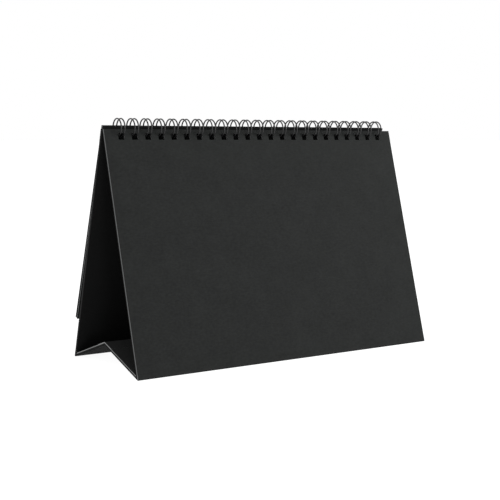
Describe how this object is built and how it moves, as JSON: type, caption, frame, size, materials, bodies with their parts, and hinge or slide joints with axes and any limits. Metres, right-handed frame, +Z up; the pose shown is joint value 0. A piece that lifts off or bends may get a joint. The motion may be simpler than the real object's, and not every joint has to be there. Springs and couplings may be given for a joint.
{
  "type": "flip desk calendar",
  "caption": "Free-standing flip desk calendar: folded black board easel, twin-loop wire binding, leaves and a stiff cover that turn over the top.",
  "frame": {"origin": "on the table under the middle of the whole object: half its width, and half-way from the front foot to the outer cover's lower edge", "axes": "+X along the wire, +Z up, -Y is the front panel's side and +Y the side where the leaves hang"},
  "size_m": [0.207, 0.081, 0.1403],
  "materials": {
    "black_cover_paper": "matt black paper with a fine tooth, laminated outside the board",
    "board_core": "dark grey board, seen at its raw cut edges",
    "black_lining_paper": "matt black paper, laminated inside the stand",
    "black_crease": "scored and folded black board",
    "wire_coating": "black nylon coating on steel wire, semi-gloss",
    "leaf_paper": "uncoated black paper, blank, with paler cut edges",
    "cover_board": "stiff matt black board"
  },
  "bodies": {
    "rear_panel": {"rear_panel_cover_paper": "black_cover_paper", "rear_panel_board": "board_core", "rear_panel_lining_paper": "black_lining_paper", "rear_foot_crease": "black_crease", "twin_loop_wire": "wire_coating"},
    "front_panel": {"front_panel_cover_paper": "black_cover_paper", "front_panel_board": "board_core", "front_panel_lining_paper": "black_lining_paper", "front_foot_crease": "black_crease"},
    "front_flap": {"front_flap_cover_paper": "black_cover_paper", "front_flap_board": "board_core", "front_flap_lining_paper": "black_lining_paper", "front_ridge_crease": "black_crease"},
    "rear_flap": {"rear_flap_cover_paper": "black_cover_paper", "rear_flap_board": "board_core", "rear_flap_lining_paper": "black_lining_paper", "rear_ridge_crease": "black_crease"},
    "cover": {"calendar_cover": "cover_board"},
    "leaf_01": {"leaf_01": "leaf_paper"},
    "leaf_02": {"leaf_02": "leaf_paper"},
    "leaf_03": {"leaf_03": "leaf_paper"},
    "leaf_04": {"leaf_04": "leaf_paper"},
    "leaf_05": {"leaf_05": "leaf_paper"},
    "leaf_06": {"leaf_06": "leaf_paper"},
    "leaf_07": {"leaf_07": "leaf_paper"},
    "leaf_08": {"leaf_08": "leaf_paper"},
    "leaf_09": {"leaf_09": "leaf_paper"},
    "leaf_10": {"leaf_10": "leaf_paper"},
    "leaf_11": {"leaf_11": "leaf_paper"},
    "leaf_12": {"leaf_12": "leaf_paper"}
  },
  "joints": [
    {"name": "stand_fold", "type": "hinge", "parent": "rear_panel", "child": "front_panel", "pos_m": [0, -0.00058, 0.1337], "axis": [1, 0, 0], "range_deg": [0, 27.5]},
    {"name": "front_flap_fold", "type": "hinge", "parent": "front_panel", "child": "front_flap", "pos_m": [0, -0.03792, 0.00245], "axis": [1, 0, 0], "range_deg": [0, 54], "deforming": ["front_ridge_crease"]},
    {"name": "rear_flap_fold", "type": "hinge", "parent": "rear_panel", "child": "rear_flap", "pos_m": [0, 0.03676, 0.00245], "axis": [1, 0, 0], "range_deg": [-54, 0], "deforming": ["rear_ridge_crease"]},
    {"name": "cover_turn", "type": "hinge", "parent": "rear_panel", "child": "cover", "pos_m": [0, -0.00058, 0.1348], "axis": [1, 0, 0], "range_deg": [0, 205]},
    {"name": "leaf_01_turn", "type": "hinge", "parent": "rear_panel", "child": "leaf_01", "pos_m": [0, -0.00058, 0.1348], "axis": [1, 0, 0], "range_deg": [0, 205]},
    {"name": "leaf_02_turn", "type": "hinge", "parent": "rear_panel", "child": "leaf_02", "pos_m": [0, -0.00058, 0.1348], "axis": [1, 0, 0], "range_deg": [0, 205]},
    {"name": "leaf_03_turn", "type": "hinge", "parent": "rear_panel", "child": "leaf_03", "pos_m": [0, -0.00058, 0.1348], "axis": [1, 0, 0], "range_deg": [0, 205]},
    {"name": "leaf_04_turn", "type": "hinge", "parent": "rear_panel", "child": "leaf_04", "pos_m": [0, -0.00058, 0.1348], "axis": [1, 0, 0], "range_deg": [0, 205]},
    {"name": "leaf_05_turn", "type": "hinge", "parent": "rear_panel", "child": "leaf_05", "pos_m": [0, -0.00058, 0.1348], "axis": [1, 0, 0], "range_deg": [0, 205]},
    {"name": "leaf_06_turn", "type": "hinge", "parent": "rear_panel", "child": "leaf_06", "pos_m": [0, -0.00058, 0.1348], "axis": [1, 0, 0], "range_deg": [0, 205]},
    {"name": "leaf_07_turn", "type": "hinge", "parent": "rear_panel", "child": "leaf_07", "pos_m": [0, -0.00058, 0.1348], "axis": [1, 0, 0], "range_deg": [0, 205]},
    {"name": "leaf_08_turn", "type": "hinge", "parent": "rear_panel", "child": "leaf_08", "pos_m": [0, -0.00058, 0.1348], "axis": [1, 0, 0], "range_deg": [0, 205]},
    {"name": "leaf_09_turn", "type": "hinge", "parent": "rear_panel", "child": "leaf_09", "pos_m": [0, -0.00058, 0.1348], "axis": [1, 0, 0], "range_deg": [0, 205]},
    {"name": "leaf_10_turn", "type": "hinge", "parent": "rear_panel", "child": "leaf_10", "pos_m": [0, -0.00058, 0.1348], "axis": [1, 0, 0], "range_deg": [0, 205]},
    {"name": "leaf_11_turn", "type": "hinge", "parent": "rear_panel", "child": "leaf_11", "pos_m": [0, -0.00058, 0.1348], "axis": [1, 0, 0], "range_deg": [0, 205]},
    {"name": "leaf_12_turn", "type": "hinge", "parent": "rear_panel", "child": "leaf_12", "pos_m": [0, -0.00058, 0.1348], "axis": [1, 0, 0], "range_deg": [0, 205]}
  ],
  "couplings": [
    {"joint": "front_flap_fold", "follows": "stand_fold", "ratio": 1.96},
    {"joint": "rear_flap_fold", "follows": "stand_fold", "ratio": -1.96},
    {"joint": "leaf_01_turn", "follows": "cover_turn", "ratio": 0.98},
    {"joint": "leaf_02_turn", "follows": "cover_turn", "ratio": 0.96},
    {"joint": "leaf_03_turn", "follows": "cover_turn", "ratio": 0.94},
    {"joint": "leaf_04_turn", "follows": "cover_turn", "ratio": 0.92},
    {"joint": "leaf_05_turn", "follows": "cover_turn", "ratio": 0.9},
    {"joint": "leaf_06_turn", "follows": "cover_turn", "ratio": 0.88},
    {"joint": "leaf_07_turn", "follows": "cover_turn", "ratio": 0.86},
    {"joint": "leaf_08_turn", "follows": "cover_turn", "ratio": 0.84},
    {"joint": "leaf_09_turn", "follows": "cover_turn", "ratio": 0.82},
    {"joint": "leaf_10_turn", "follows": "cover_turn", "ratio": 0.8},
    {"joint": "leaf_11_turn", "follows": "cover_turn", "ratio": 0.78},
    {"joint": "leaf_12_turn", "follows": "cover_turn", "ratio": 0.76}
  ]
}
